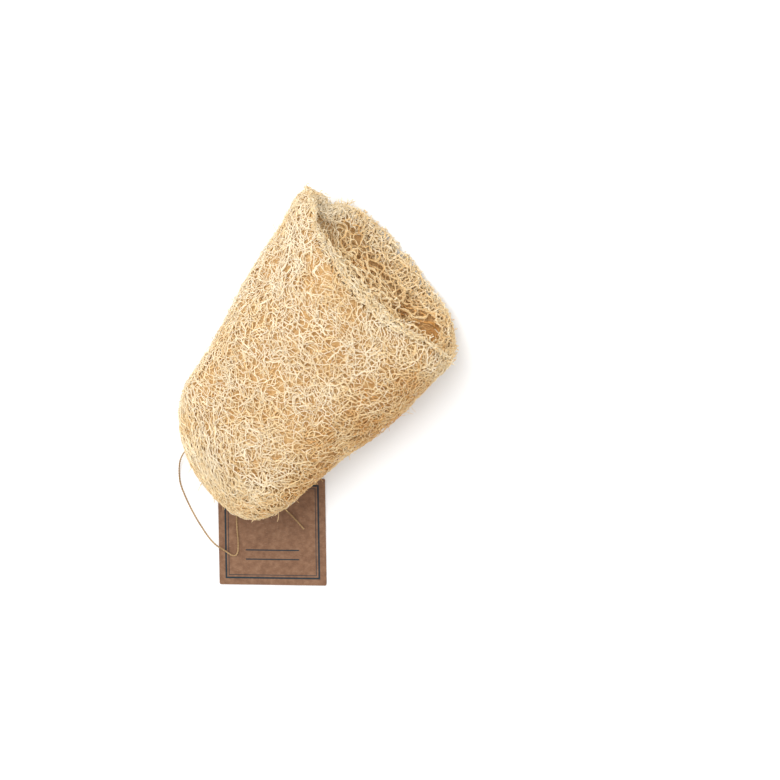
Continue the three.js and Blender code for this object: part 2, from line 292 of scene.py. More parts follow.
# A broad light from the picture's upper left, an even surround and a wide floor
KEY_UP = 0.3
KEY_LEFT = 0.38
KEY_DISTANCE = 1300
KEY_SIZE = 1200
KEY_POWER = 11
SURROUND_STRENGTH = 1.04
FLOOR_HALF = 3000


def unit(vectors):
    """Vectors brought to length one; a vector of no length stays as it is."""
    length = np.linalg.norm(vectors, axis=-1, keepdims=True)
    return vectors / np.maximum(length, 1e-12)


def ease(value, low, high):
    """0 below low, 1 above high, and a smooth step between them."""
    share = np.clip((value - low) / (high - low), 0, 1)
    return share * share * (3 - 2 * share)


def waves(points, size, count, draw):
    """Slow random waves through space, about -1 to 1: a sum of plane waves in random directions."""
    heading = unit(draw.normal(size=(count, 3))) * TURN / size
    phase = draw.uniform(0, TURN, count)
    return np.cos(points @ heading.T + phase).sum(axis=-1) / math.sqrt(count / 2)


# Form of the sponge

def section(x):
    """Half width, half height, middle in y and z, and closing share of the sponge at x.

    It widens along its length, half evenly and half in a slow wave, and closes in a blunt dome
    that leans to one side. Its middle line bows the same way."""
    along = np.clip((x - CLOSED_END) / LENGTH, 0, 1)
    widening = along / 2 + (1 - np.cos(np.pi * along)) / 4
    rounding = np.clip((DOME_START - x) / DOME_LENGTH, 0, 1)
    closing = (1 - rounding**DOME_FULLNESS) ** (1 / DOME_FULLNESS)
    half_width = (NARROW_WIDTH + (WIDE_WIDTH - NARROW_WIDTH) * widening) / 2
    half_height = (NARROW_HEIGHT + (WIDE_HEIGHT - NARROW_HEIGHT) * widening) / 2
    middle_y = DOME_SIDE_SHIFT * rounding**2 + SIDE_BEND * np.sin(np.pi * along)
    return half_width * closing, half_height * closing, middle_y, half_height - PRESSED_FLAT, closing


CUT_HALF_WIDTH, CUT_HALF_HEIGHT, _, CUT_MIDDLE_Z, _ = (float(v) for v in section(np.array(CUT_END)))


def sponge_skin(angle, x):
    """Points of the smooth skin: a superellipse at x with slow swells round it."""
    half_width, half_height, middle_y, middle_z, closing = section(x)
    swell = sum(h * np.cos(w * angle + t * x + p) for h, w, t, p in SWELLS) * closing
    power = 2 / SECTION_FULLNESS
    across = np.sign(np.cos(angle)) * np.abs(np.cos(angle)) ** power
    up = np.sign(np.sin(angle)) * np.abs(np.sin(angle)) ** power
    y = middle_y + (half_width + swell) * across
    z = middle_z + (half_height + swell) * up
    return np.stack([x + 0 * y, y, z], axis=-1)


def cut_x(y, z):
    """Where the cut meets a point across and up the sponge.

    It is slanted, leans back from its lower edge to its upper one, most in the middle of its
    width, and stands out there and in a lobe. The lobe is a bell over its width, and so is a
    notch in its lower edge. Above the notch the corner folds forward in a soft step."""
    middle = np.clip(1 - (2 * y / WIDE_WIDTH) ** 2, 0, 1)
    lobe = LOBE_HEIGHT * np.exp(-(((y - LOBE_MIDDLE) / LOBE_WIDTH) ** 2))
    notch = NOTCH_DEPTH * np.exp(-(((y - NOTCH_MIDDLE) / NOTCH_WIDTH) ** 2))
    notch = notch * ease(-z, *NOTCH_HEIGHTS)
    fold = FOLD_REACH * ease(y, *FOLD_SIDES) * ease(z, *FOLD_HEIGHTS)
    lean = (z - WIDE_HEIGHT / 2) * (LEAN_SIDES + LEAN_MIDDLE * middle)
    slant = y * math.tan(CUT_ANGLE)
    return CUT_END - CUT_INSET + slant + CUT_BULGE * middle + lobe + fold - notch - lean


def beyond_cut(points):
    """How far points lie past the cut, below 0 in the sponge."""
    return points[..., 0] - cut_x(points[..., 1], points[..., 2])


def hollow_reach(y, z):
    """How far a point of the cut end is from the nearer hollow's middle: 1 on the hollow's wall."""
    across = (np.abs(y) - HOLLOW_OFFSET * CUT_HALF_WIDTH) / (HOLLOW_HALF_WIDTH * CUT_HALF_WIDTH)
    up = (z - CUT_MIDDLE_Z) / (HOLLOW_HALF_HEIGHT * CUT_HALF_HEIGHT)
    return np.hypot(across, up)


def face_recess(y, z):
    """How far the web lies behind the cut: nothing at its top and sides, most above the lower wall."""
    return WEB_RECESS * ease(-z, -WIDE_HEIGHT, -WALL) * ease(-np.abs(y), *WEB_RECESS_SIDES)


def cup_reach(y, z):
    """How far a point of the cut end is from its middle: 1 on the inside of the wall round it."""
    across = y / (CUT_HALF_WIDTH - CORNER_WALL)
    return np.hypot(across, (z - CUT_MIDDLE_Z) / (CUT_HALF_HEIGHT - WALL))


def in_cup(y, z):
    """1 in the cup of the cut end and 0 on the wall round it, with a soft step between them."""
    return ease(-cup_reach(y, z), *CUP_EDGE)


def in_dish(reach):
    """1 in a hollow and 0 well outside it, with a soft step between them, from its hollow_reach."""
    return ease(-reach, *DISH_EDGE)


def lip_sink(points):
    """How far the skin sinks as it rounds over into the cut: a squared soft step along it."""
    upper = ease(points[..., 2], *UPPER_LIP_HEIGHTS)
    depth = LIP_DEPTH + (UPPER_LIP_DEPTH - LIP_DEPTH) * upper
    length = LIP_LENGTH + (UPPER_LIP_LENGTH - LIP_LENGTH) * upper
    return depth * ease(beyond_cut(points), -length, length / 4) ** 2


class Chart:
    """A round surface that closes at one end, laid flat on a disc with its small shapes kept.

    share is the way round it and length the way along it from its tip. A step along widens the
    disc by that step's share of the girth, so that cells keep their shape on the disc."""

    def __init__(self, place, girth, longest):
        self.place = place
        self.girth = girth
        self.lengths = np.linspace(CHART_TIP, longest, CHART_STEPS)
        steps = np.diff(self.lengths) * TURN / girth(self.lengths[1:])
        self.logs = np.concatenate([[0], np.cumsum(steps)])

    def flat(self, share, length):
        """Points of the disc: the share round it is their turn, and the length gives their radius."""
        radius = np.exp(np.interp(length, self.lengths, self.logs))
        return radius[:, None] * np.stack([np.cos(TURN * share), np.sin(TURN * share)], axis=1)

    def at(self, share, length):
        """Points at a share round and a length along, with the normals that point outwards."""
        slight = 0.4
        turn = slight / self.girth(length)
        point = self.place(share, length)
        around = self.place(share + turn, length) - self.place(share - turn, length)
        along = self.place(share, length + slight) - self.place(share, length - slight)
        return point, unit(np.cross(around, along))

    def scatter(self, pitch, jitter, longest, draw):
        """Points in rings a pitch apart, each moved at random by up to jitter pitches."""
        rings = np.arange(pitch / 2, longest, pitch * ROW_SHARE)
        counts = np.maximum(np.round(self.girth(rings) / pitch), 3).astype(int)
        total = counts.sum()
        place = np.arange(total) - np.repeat(np.cumsum(counts) - counts, counts)
        share = (place + np.repeat(draw.random(len(rings)), counts)) / np.repeat(counts, counts)
        length = np.repeat(rings, counts)
        share = share + draw.uniform(-jitter, jitter, total) * pitch / self.girth(length)
        length = length + draw.uniform(-jitter, jitter, total) * pitch
        return share, np.clip(length, pitch * TIP_CLEARANCE, longest)


def line_lengths(points):
    """Length along a line of points, from its first point."""
    steps = np.linalg.norm(np.diff(points, axis=0), axis=1)
    return np.concatenate([[0], np.cumsum(steps)])


def sponge_chart():
    """The sponge's skin from its closed tip to past the cut, measured along its mean profile."""
    x = CLOSED_END + (CUT_END + NET_OVERRUN - CLOSED_END) * np.linspace(0, 1, PROFILE_STEPS) ** 2
    half_width, half_height, *_ = section(x)
    along = line_lengths(np.stack([x, (half_width + half_height) / 2], axis=1))
    angles = np.linspace(0, TURN, ROUND_STEPS)
    round_rim = line_lengths(sponge_skin(angles, np.zeros_like(angles)))

    def place(share, length):
        """Points of the skin, shares being even steps round the girth."""
        turns = np.floor(share)
        angle = np.interp((share - turns) * round_rim[-1], round_rim, angles)
        return sponge_skin(angle, np.interp(length, along, x))

    def girth(length):
        """Girth by the usual close formula for an ellipse, and never quite nothing."""
        wide, high, *_ = section(np.interp(length, along, x))
        root = np.sqrt((3 * wide + high) * (wide + 3 * high))
        return np.pi * (3 * (wide + high) - root) + LEAST_GIRTH

    return Chart(place, girth, along[-1])


SPONGE = sponge_chart()
NET_END = SPONGE.lengths[-1] - NET_MARGIN


# Strands

def net_links(flat, longest):
    """The junctions of a net whose cells lie round scattered points, laid flat.

    A junction is the middle of a triangle of neighbouring points, none of them further apart than
    longest, a length for each point. Returns each junction's three points, and a row of the
    junctions it is tied to, those of the triangles that share a side with its own. Where there is
    none, the row has the junction's own number."""
    found = delaunay_2d_cdt([Vector(p) for p in flat.tolist()], [], [], 0, 1e-9)
    triangles = np.array(found[2])
    corners = flat[triangles]
    reach = np.linalg.norm(corners - np.roll(corners, 1, axis=1), axis=2).max(axis=1)
    triangles = triangles[reach < longest[triangles].min(axis=1)]
    sides = np.sort(triangles[:, [[0, 1], [1, 2], [2, 0]]], axis=2).reshape(-1, 2)
    order = np.lexsort(sides.T)
    twin = np.flatnonzero((sides[order[1:]] == sides[order[:-1]]).all(axis=1))
    first, second = order[twin], order[twin + 1]
    links = np.repeat(np.arange(len(triangles)), 3)
    links[first], links[second] = second // 3, first // 3
    return triangles, links.reshape(-1, 3)


def ties_among(links, kept):
    """The ties to junctions that are kept; the others become ties to the junction itself."""
    return np.where(kept[links], links, np.arange(len(links))[:, None])


def tied(links):
    """Whether each junction is tied to any other."""
    return (links != np.arange(len(links))[:, None]).any(axis=1)


def chart_net(chart, pitch, longest, draw):
    """Junctions of a net on a chart, their normals and their ties.

    Its cells lie a pitch apart up to a length along the chart, and each junction is the middle of
    three of them."""
    share, length = chart.scatter(pitch, CELL_JITTER, longest, draw)
    cells, normals = chart.at(share, length)
    flat = chart.flat(share, length)
    scale = np.linalg.norm(flat, axis=1) * TURN / chart.girth(length)
    junctions, links = net_links(flat, LONGEST_SIDE * pitch * scale)
    return cells[junctions].mean(axis=1), unit(normals[junctions].mean(axis=1)), links


def roam(points, links, starts, headings, steps, wander, draw):
    """Fibres that run from junction to junction, each time to the neighbour most nearly ahead.

    wander adds chance to the choice. Returns the numbers of the junctions, (fibre, step)."""
    here = starts
    trail = [here]
    rows = np.arange(len(starts))
    for _ in range(steps):
        around = links[here]
        ways = unit(points[around] - points[here][:, None])
        ahead = np.sum(ways * headings[:, None], axis=2) + wander * draw.normal(size=around.shape)
        ahead[around == here[:, None]] = -math.inf
        pick = ahead.argmax(axis=1)
        headings = unit(MOMENTUM * headings + ways[rows, pick])
        here = around[rows, pick]
        trail.append(here)
    return np.stack(trail, axis=1)


def smooth_lines(knots, per_span):
    """Smooth lines through rows of knots, each span a cubic between its neighbours' slopes."""
    before = np.concatenate([2 * knots[:, :1] - knots[:, 1:2], knots[:, :-1]], axis=1)
    after = np.concatenate([knots[:, 1:], 2 * knots[:, -1:] - knots[:, -2:-1]], axis=1)
    slope = (after - before) / 2
    t = np.linspace(0, 1, per_span, endpoint=False)[None, None, :, None]
    first, last = knots[:, :-1, None], knots[:, 1:, None]
    spans = (
        (2 * t**3 - 3 * t**2 + 1) * first
        + (t**3 - 2 * t**2 + t) * slope[:, :-1, None]
        + (3 * t**2 - 2 * t**3) * last
        + (t**3 - t**2) * slope[:, 1:, None]
    )
    spans = spans.reshape(len(knots), -1, 3)
    return np.concatenate([spans, knots[:, -1:]], axis=1)


def tubes(curves, radius, facing, sides):
    """Closed round strands along curves: points, side faces and end faces.

    Each ring is a circle square to its curve. facing is any direction across each point of it."""
    along = unit(np.gradient(curves, axis=1))
    across = unit(np.cross(along, facing))
    over = np.cross(across, along)
    turn = TURN * np.arange(sides) / sides
    ring = np.cos(turn)[:, None] * across[:, :, None, :] + np.sin(turn)[:, None] * over[:, :, None, :]
    points = curves[:, :, None, :] + radius[:, :, None, None] * ring
    number = np.arange(points[..., 0].size).reshape(points.shape[:3])
    beside = np.roll(number, -1, axis=2)
    walls = np.stack([number[:, :-1], number[:, 1:], beside[:, 1:], beside[:, :-1]], axis=-1)
    ends = np.concatenate([number[:, 0], number[:, -1, ::-1]])
    return points.reshape(-1, 3), walls.reshape(-1, 4), ends


def grid_faces(rows, columns):
    """Faces of a grid of points whose columns are joined round."""
    number = np.arange(rows * columns).reshape(rows, columns)
    beside = np.roll(number, -1, axis=1)
    return np.stack([number[:-1], beside[:-1], beside[1:], number[1:]], axis=-1).reshape(-1, 4)


def in_scene(name, data):
    """A new object in the scene."""
    thing = bpy.data.objects.new(name, data)
    bpy.context.scene.collection.objects.link(thing)
    return thing


def new_piece(name, points, face_groups, material, tone=None):
    """A piece of the object from points in millimetres and groups of faces with equal sides."""
    mesh = bpy.data.meshes.new(name)
    mesh.vertices.add(len(points))
    mesh.vertices.foreach_set("co", (points * MM).astype(np.float32).ravel())
    corners = np.concatenate([group.ravel() for group in face_groups])
    sizes = np.concatenate([np.full(len(group), group.shape[1]) for group in face_groups])
    mesh.loops.add(len(corners))
    mesh.loops.foreach_set("vertex_index", corners.astype(np.int32))
    mesh.polygons.add(len(sizes))
    mesh.polygons.foreach_set("loop_start", (np.cumsum(sizes) - sizes).astype(np.int32))
    mesh.polygons.foreach_set("use_smooth", np.ones(len(sizes), bool))
    mesh.update(calc_edges=True)
    if tone is not None:
        values = mesh.attributes.new("tone", "FLOAT", "POINT").data
        values.foreach_set("value", tone.astype(np.float32))
    mesh.materials.append(material)
    piece = in_scene(name, mesh)
    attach(piece, "root")
    return piece


# Finishes

class Finish:
    """A material under construction, with short ways to add its nodes."""

    def __init__(self, tree):
        self.nodes = tree.nodes
        self.links = tree.links

    def feed(self, socket, value):
        """Puts a socket's output, a number or an RGB triple into a socket."""
        if isinstance(value, bpy.types.NodeSocket):
            self.links.new(value, socket)
        elif isinstance(value, tuple) and socket.type == "RGBA":
            socket.default_value = (*value, 1.0)
        else:
            socket.default_value = value

    def math(self, operation, first, second):
        """The result of a math operation on two values."""
        node = self.nodes.new("ShaderNodeMath")
        node.operation = operation
        self.feed(node.inputs[0], first)
        self.feed(node.inputs[1], second)
        return node.outputs[0]

    def span(self, value, low, high, to_low=0.0, to_high=1.0):
        """Carries low..high over to to_low..to_high, and stops at both ends."""
        node = self.nodes.new("ShaderNodeMapRange")
        names = ("From Min", "From Max", "To Min", "To Max")
        for name, number in zip(names, (low, high, to_low, to_high)):
            node.inputs[name].default_value = number
        self.feed(node.inputs["Value"], value)
        return node.outputs["Result"]

    def noise(self, vector, scale, detail=3.0):
        """Soft noise round a half."""
        node = self.nodes.new("ShaderNodeTexNoise")
        node.inputs["Detail"].default_value = detail
        self.feed(node.inputs["Scale"], scale)
        self.feed(node.inputs["Vector"], vector)
        return node.outputs["Fac"]

    def mix(self, factor, first, second):
        """The first colour at factor 0, and the second at 1."""
        node = self.nodes.new("ShaderNodeMix")
        node.data_type = "RGBA"
        colours = [socket for socket in node.inputs if socket.type == "RGBA"]
        self.feed(node.inputs["Factor"], factor)
        self.feed(colours[0], first)
        self.feed(colours[1], second)
        return next(socket for socket in node.outputs if socket.type == "RGBA")

    def tone(self):
        """The tone that the points of a piece carry."""
        node = self.nodes.new("ShaderNodeAttribute")
        node.attribute_name = "tone"
        return node.outputs["Fac"]

    def ramp(self, value, stops):
        """A colour ramp through (position, RGB) stops."""
        node = self.nodes.new("ShaderNodeValToRGB")
        steps = node.color_ramp.elements
        while len(steps) < len(stops):
            steps.new(0.5)
        for step, (position, colour) in zip(steps, stops):
            step.position = position
            step.color = (*colour, 1.0)
        self.feed(node.inputs["Fac"], value)
        return node.outputs["Color"]

    def bump(self, height, strength, distance):
        """Normals bent by a height."""
        node = self.nodes.new("ShaderNodeBump")
        node.inputs["Strength"].default_value = strength
        node.inputs["Distance"].default_value = distance
        self.feed(node.inputs["Height"], height)
        return node.outputs["Normal"]


def srgb(red, green, blue):
    """An RGB triple of 0 to 255 as the linear colour that shaders take."""
    return tuple(
        c / 12.92 if c <= 0.04045 else ((c + 0.055) / 1.055) ** 2.4
        for c in (red / 255, green / 255, blue / 255)
    )


def plant_grain():
    """The mottle of dry plant fibre: slow patches and a fine grain, both from 0 to 1."""
    group = bpy.data.node_groups.new("plant_grain", "ShaderNodeTree")
    sockets = group.interface
    sockets.new_socket("Vector", in_out="INPUT", socket_type="NodeSocketVector")
    for look in ("Patch", "Grain"):
        sockets.new_socket(f"{look} Scale", in_out="INPUT", socket_type="NodeSocketFloat")
        sockets.new_socket(look, in_out="OUTPUT", socket_type="NodeSocketFloat")
    finish = Finish(group)
    given = group.nodes.new("NodeGroupInput").outputs
    made = group.nodes.new("NodeGroupOutput").inputs
    patch = finish.noise(given["Vector"], given["Patch Scale"], 2.0)
    grain = finish.noise(given["Vector"], given["Grain Scale"], 3.0)
    finish.feed(made["Patch"], finish.span(patch, 0.3, 0.7))
    finish.feed(made["Grain"], finish.span(grain, 0.28, 0.72))
    return group


PLANT_GRAIN = plant_grain()


def new_finish(name):
    """A new material: its Finish, its Principled shader's inputs and its Object coordinates."""
    material = bpy.data.materials.new(name)
    material.use_nodes = True
    finish = Finish(material.node_tree)
    shader = finish.nodes["Principled BSDF"].inputs
    place = finish.nodes.new("ShaderNodeTexCoord").outputs["Object"]
    return material, finish, shader, place


def grain_of(finish, place, patch_scale, grain_scale):
    """The patches and the grain of dry plant fibre at their scales, in a material."""
    node = finish.nodes.new("ShaderNodeGroup")
    node.node_tree = PLANT_GRAIN
    finish.feed(node.inputs["Vector"], place)
    finish.feed(node.inputs["Patch Scale"], patch_scale)
    finish.feed(node.inputs["Grain Scale"], grain_scale)
    return node.outputs["Patch"], node.outputs["Grain"]


def dry_surface(finish, shader, colour, grain, rough, relief, strength, depth, gloss):
    """A matt surface of a colour: its roughness runs with the grain, and a relief bends its normals."""
    finish.feed(shader["Base Color"], colour)
    finish.feed(shader["Roughness"], finish.span(grain, 0, 1, *rough))
    finish.feed(shader["Normal"], finish.bump(relief, strength, depth * MM))
    shader["Specular IOR Level"].default_value = gloss


def flank_shade_and_warm_end(finish, place):
    """How much warmer the fibre is on one flank, less so near the cut, as painted shade for that side, and
    at the closed end.
    """
    split = finish.nodes.new("ShaderNodeSeparateXYZ")
    finish.feed(split.inputs["Vector"], place)
    x, y, _ = split.outputs
    flank_shade = finish.span(y, *(side * MM for side in SHADED_FLANK), 0.0, FLANK_SHADE)
    fade = finish.span(x, *(end * MM for end in FLANK_SHADE_FADE), 1.0, FADED_SHADE_SHARE)
    closed_end = finish.span(x, *(end * MM for end in WARM_CLOSED_END), 0.0, CLOSED_END_WARMTH)
    return finish.math("ADD", finish.math("MULTIPLY", flank_shade, fade), closed_end)


def strand_finish():
    """Dry fibre strands: pale cream to tan by each strand's tone, mottled in slow patches, and tanner on one
    flank as painted shade.
    """
    material, finish, shader, place = new_finish("loofah_strands")
    patch, grain = grain_of(finish, place, patch_scale=42.0, grain_scale=1900.0)
    value = finish.math("ADD", finish.tone(), finish.span(patch, 0.0, 1.0, -0.17, 0.2))
    value = finish.math("ADD", value, finish.span(grain, 0.0, 1.0, -0.1, 0.1))
    # painted shade: the strands are tanner on one flank, and warmer at the closed end
    value = finish.math("ADD", value, flank_shade_and_warm_end(finish, place))
    stops = (
        (0.0, srgb(254, 239, 211)),
        (0.3, srgb(249, 226, 182)),
        (0.6, srgb(239, 204, 147)),
        (1.0, srgb(222, 164, 90)),
    )
    colour = finish.ramp(value, stops)
    dry_surface(finish, shader, colour, grain, (0.5, 0.8), grain, strength=0.35, depth=0.12, gloss=0.3)
    return material


def core_finish():
    """The packed fibre deep inside: tan, mottled like a net that lies out of reach, with its darker gaps
    painted in as shade.

    Its tone is above 0 in one hollow and below 0 in the other, and each has its own colour."""
    material, finish, shader, place = new_finish("loofah_core")
    patch, grain = grain_of(finish, place, patch_scale=60.0, grain_scale=520.0)
    patch = finish.span(patch, 0.0, 1.0, 0.0, 0.35)
    # The grain gives the tan of deep fibre, and its darker spots are painted shade for the gaps of a deep
    # net.
    value = finish.math("ADD", patch, finish.span(grain, 0.0, 1.0, 0.0, 0.65))
    # painted shade: the core is darker on one flank, and also darker at the closed end
    value = finish.math("SUBTRACT", value, flank_shade_and_warm_end(finish, place))
    stops = (
        (0.0, srgb(190, 145, 90)),
        (0.5, srgb(215, 176, 122)),
        (1.0, srgb(234, 202, 152)),
    )
    side = finish.tone()
    lining = finish.mix(finish.span(side, -0.01, 0.01), srgb(244, 212, 162), srgb(216, 164, 102))
    packed = finish.ramp(value, stops)
    inside = finish.mix(finish.math("ABSOLUTE", side, 0.0), packed, lining)
    dry_surface(finish, shader, inside, grain, (0.75, 0.95), grain, strength=0.8, depth=1.2, gloss=0.15)
    return material


def kraft_finish():
    """Brown kraft card: pressed fibre with pale and dark flecks, and a plain printed double border.

    The border is where the greater of the distances from the tag's two middle lines is one of two
    values. Inside it, two ruled lines lie across the tag. All of it is on the upper face alone."""
    material, finish, shader, place = new_finish("kraft_card")
    turned = finish.nodes.new("ShaderNodeMapping")
    turned.vector_type = "TEXTURE"
    turned.inputs["Location"].default_value = (TAG_CENTRE[0] * MM, TAG_CENTRE[1] * MM, 0)
    turned.inputs["Rotation"].default_value = (0, 0, TAG_TURN)
    turned.inputs["Scale"].default_value = (MM, MM, MM)
    finish.feed(turned.inputs["Vector"], place)
    on_tag = turned.outputs["Vector"]
    split = finish.nodes.new("ShaderNodeSeparateXYZ")
    finish.feed(split.inputs["Vector"], on_tag)
    across, along, height = split.outputs
    patch, grain = grain_of(finish, on_tag, patch_scale=0.45, grain_scale=2.6)
    stretched = finish.nodes.new("ShaderNodeMapping")
    stretched.inputs["Scale"].default_value = (0.5, 3.2, 1)
    finish.feed(stretched.inputs["Vector"], on_tag)
    fleck = finish.noise(stretched.outputs["Vector"], scale=1.1, detail=4.0)
    value = finish.math("ADD", finish.span(patch, 0, 1, 0, 0.65), finish.span(grain, 0, 1, 0, 0.35))
    stops = ((0.0, srgb(107, 76, 57)), (0.5, srgb(126, 93, 71)), (1.0, srgb(141, 108, 84)))
    card = finish.ramp(value, stops)
    card = finish.mix(finish.span(fleck, 0.6, 0.7, 0, 0.5), card, srgb(160, 130, 106))
    card = finish.mix(finish.span(fleck, 0.34, 0.27, 0, 0.55), card, srgb(84, 56, 40))

    def size_of(distance):
        """A distance without its sign."""
        return finish.math("ABSOLUTE", distance, 0.0)

    def line(distance, middle, half):
        """1 within half of a line's middle, and 0 beyond it, with soft edges."""
        away = size_of(finish.math("SUBTRACT", distance, middle))
        return finish.span(away, half + PRINT_EDGE, half - PRINT_EDGE)

    rim = finish.math("MAXIMUM", size_of(across), size_of(along))
    border = finish.math("MAXIMUM", *(line(rim, *given) for given in BORDER_LINES))
    rules = finish.math("MAXIMUM", *(line(along, rule, RULE_HALF_WIDTH) for rule in RULES))
    rules = finish.math("MULTIPLY", rules, line(across, 0.0, RULE_HALF_LENGTH))
    ink = finish.math("MAXIMUM", border, rules)
    ink = finish.math("MULTIPLY", ink, finish.span(height, *PRINTED_FACE))
    ink = finish.math("MULTIPLY", ink, finish.span(grain, 0.0, 0.5, 0.78, 0.97))
    printed = finish.mix(ink, card, srgb(20, 44, 54))
    dry_surface(finish, shader, printed, grain, (0.78, 0.95), fleck, strength=0.35, depth=0.2, gloss=0.25)
    return material


def twine_finish():
    """Jute twine: dry tan fibre, streaked lighter and darker."""
    material, finish, shader, place = new_finish("jute_twine")
    patch, grain = grain_of(finish, place, patch_scale=120.0, grain_scale=2600.0)
    value = finish.math("ADD", finish.span(patch, 0, 1, 0, 0.45), finish.span(grain, 0, 1, 0, 0.55))
    stops = ((0.0, srgb(136, 106, 72)), (0.5, srgb(174, 142, 102)), (1.0, srgb(208, 178, 136)))
    colour = finish.ramp(value, stops)
    dry_surface(finish, shader, colour, grain, (0.7, 0.95), grain, strength=0.5, depth=0.1, gloss=0.2)
    return material


STRANDS = strand_finish()
CORE = core_finish()
KRAFT = kraft_finish()
TWINE = twine_finish()


# The sponge

def fibre_piece(name, lines, facing, radius, tone):
    """A piece of fibres along lines: each is thinner at its ends and has its own tone."""
    steps = lines.shape[1]
    taper = 1 - END_TAPER * (2 * np.linspace(0, 1, steps) - 1) ** TAPER_POWER
    thick = radius[:, None] * taper
    lines = lines.copy()
    lines[..., 2] = np.maximum(lines[..., 2], thick + FLOOR_GAP)
    points, walls, ends = tubes(lines, thick, facing, FIBRE_SIDES)
    tones = np.repeat(tone, steps * FIBRE_SIDES)
    new_piece(name, points, (walls, ends), STRANDS, tones)


def open_patches(points):
    """Slow waves over the sponge: where they are high, all its nets are thinner."""
    return waves(points, OPEN_SIZE, OPEN_WAVES, np.random.default_rng(OPEN_SEED))


def net_piece(
    name, points, normals, links, starts, radius, tone, draw,
    spans=1, tangle=SKIN_TANGLE, straight=SKIN_STRAIGHT,
):
    """A piece of fibres that roam a net of junctions from their starts, each as thick as chance has it.

    spans is how finely each is divided between junctions, tangle how far, at random, it passes
    them by, and straight how far its points move towards the middle of their neighbours."""
    fibres = len(starts)
    headings = unit(draw.normal(size=(fibres, 3)))
    trail = roam(points, links, starts, headings, FIBRE_STEPS, WANDER, draw)
    knots = points[trail] + tangle * draw.normal(size=(*trail.shape, 3))
    between = (knots[:, :-2] + knots[:, 2:]) / 2
    knots[:, 1:-1] += straight * (between - knots[:, 1:-1])
    lines = smooth_lines(knots, spans)
    facing = smooth_lines(normals[trail], spans)
    thick = radius * draw.uniform(*THICKNESSES, fibres)
    fibre_piece(name, lines, facing, thick, tone + TONE_SPREAD * draw.normal(size=fibres))


def skin_net(name, pitch, depth, spread, fibres, radius, tone, seed, band=LENGTH * 2):
    """A net of fibres under the sponge's skin, at a depth that varies by spread.

    Slow waves lift the net in patches and thin it in others, and it is denser on the closed end
    and at both corners of the cut. It ends at the cut, and reaches back by band behind the web."""
    draw = np.random.default_rng(seed)
    points, normals, links = chart_net(SPONGE, pitch, NET_END, draw)
    lift = waves(points, LIFT_SIZE, LIFT_WAVES, draw)
    uneven = draw.uniform(-1, 1, len(points)) + LIFT_SHARE * lift
    points = points - (depth + spread * uneven + lip_sink(points))[:, None] * normals
    x, y, z = points.T
    beyond = beyond_cut(points)
    kept = beyond < draw.uniform(*RAGGED_CUT, len(points))
    kept = kept & (beyond > -band - face_recess(y, z))
    links = ties_among(links, kept)
    corner = ease(np.abs(y), *CORNER_SIDES) * ease(beyond, *CORNER_STRETCH)
    closed_end = ease(-x, *CLOSED_END_STRETCH)
    density = np.clip(1 - OPEN_THINNING * open_patches(points), LEAST_DENSITY, None)
    density = density * (1 + corner + CLOSED_END_DENSITY * closed_end)
    density = density * (1 - LIP_THINNING * ease(beyond, *LIP_STRETCH))
    density = density * (kept & tied(links))
    starts = draw.choice(len(points), fibres, p=density / density.sum())
    shade = tone + LIFT_TONE * lift[starts]
    net_piece(name, points, normals, links, starts, radius, shade, draw)


def core_mass():
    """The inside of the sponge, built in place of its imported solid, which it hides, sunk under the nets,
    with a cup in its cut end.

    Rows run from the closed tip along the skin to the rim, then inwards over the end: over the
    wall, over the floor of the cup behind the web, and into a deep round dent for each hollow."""
    share = np.linspace(0, 1, CORE_COLUMNS, endpoint=False)

    def sunk_skin(shares, lengths):
        """Points of the skin, sunk to the core's depth, and by the lip's near the cut."""
        points, normals = SPONGE.at(shares.ravel(), lengths.ravel())
        points = points - (CORE_DEPTH + lip_sink(points))[:, None] * normals
        return points.reshape(*lengths.shape, 3)

    fine_share, fine_length = np.meshgrid(share, np.linspace(CORE_TIP, NET_END, CORE_FINE_ROWS))
    fine = sunk_skin(fine_share, fine_length)
    inside = beyond_cut(fine) < -CORE_EDGE
    last_length = fine_length[inside.sum(axis=0) - 1, np.arange(CORE_COLUMNS)]
    length = CORE_TIP + (last_length - CORE_TIP) * np.linspace(0, 1, CORE_ROWS)[:, None]
    side = sunk_skin(np.tile(share, (CORE_ROWS, 1)), length)
    rim = side[-1]
    middle = rim.mean(axis=0)
    inwards = np.linspace(*CORE_FACE_SPAN, CORE_ROWS)[:, None, None]
    _, y, z = np.moveaxis(middle + (rim - middle) * inwards, -1, 0)
    reach = hollow_reach(y, z)
    dish = in_dish(reach)
    setback = CORE_EDGE + (CORE_SETBACK + CORE_RECESS_SHARE * face_recess(y, z)) * in_cup(y, z)
    hollow = CORE_HOLLOW_DEPTH * ease(-reach, *CORE_HOLLOW_EDGE)
    x = cut_x(y, z) - setback - CORE_DISH_DEPTH * dish - hollow
    wide, high, middle_y, middle_z, _ = section(x)
    narrowed_y = middle_y + y * wide / CUT_HALF_WIDTH
    narrowed_z = middle_z + (z - CUT_MIDDLE_Z) * high / CUT_HALF_HEIGHT
    face = np.stack([x, narrowed_y, narrowed_z], axis=-1)
    points = np.concatenate([side, face]).reshape(-1, 3)
    points[:, 2] = np.maximum(points[:, 2], CORE_FLOOR)
    tone = np.concatenate([np.zeros(side[..., 0].size), (-dish * np.sign(narrowed_y)).ravel()])
    faces = grid_faces(2 * CORE_ROWS, CORE_COLUMNS)
    tip = np.arange(CORE_COLUMNS)
    hub = len(points) - CORE_COLUMNS + tip
    core = new_piece("loofah_core", points, (faces, tip[None, ::-1], hub[None]), CORE, tone)
    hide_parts("loofah")


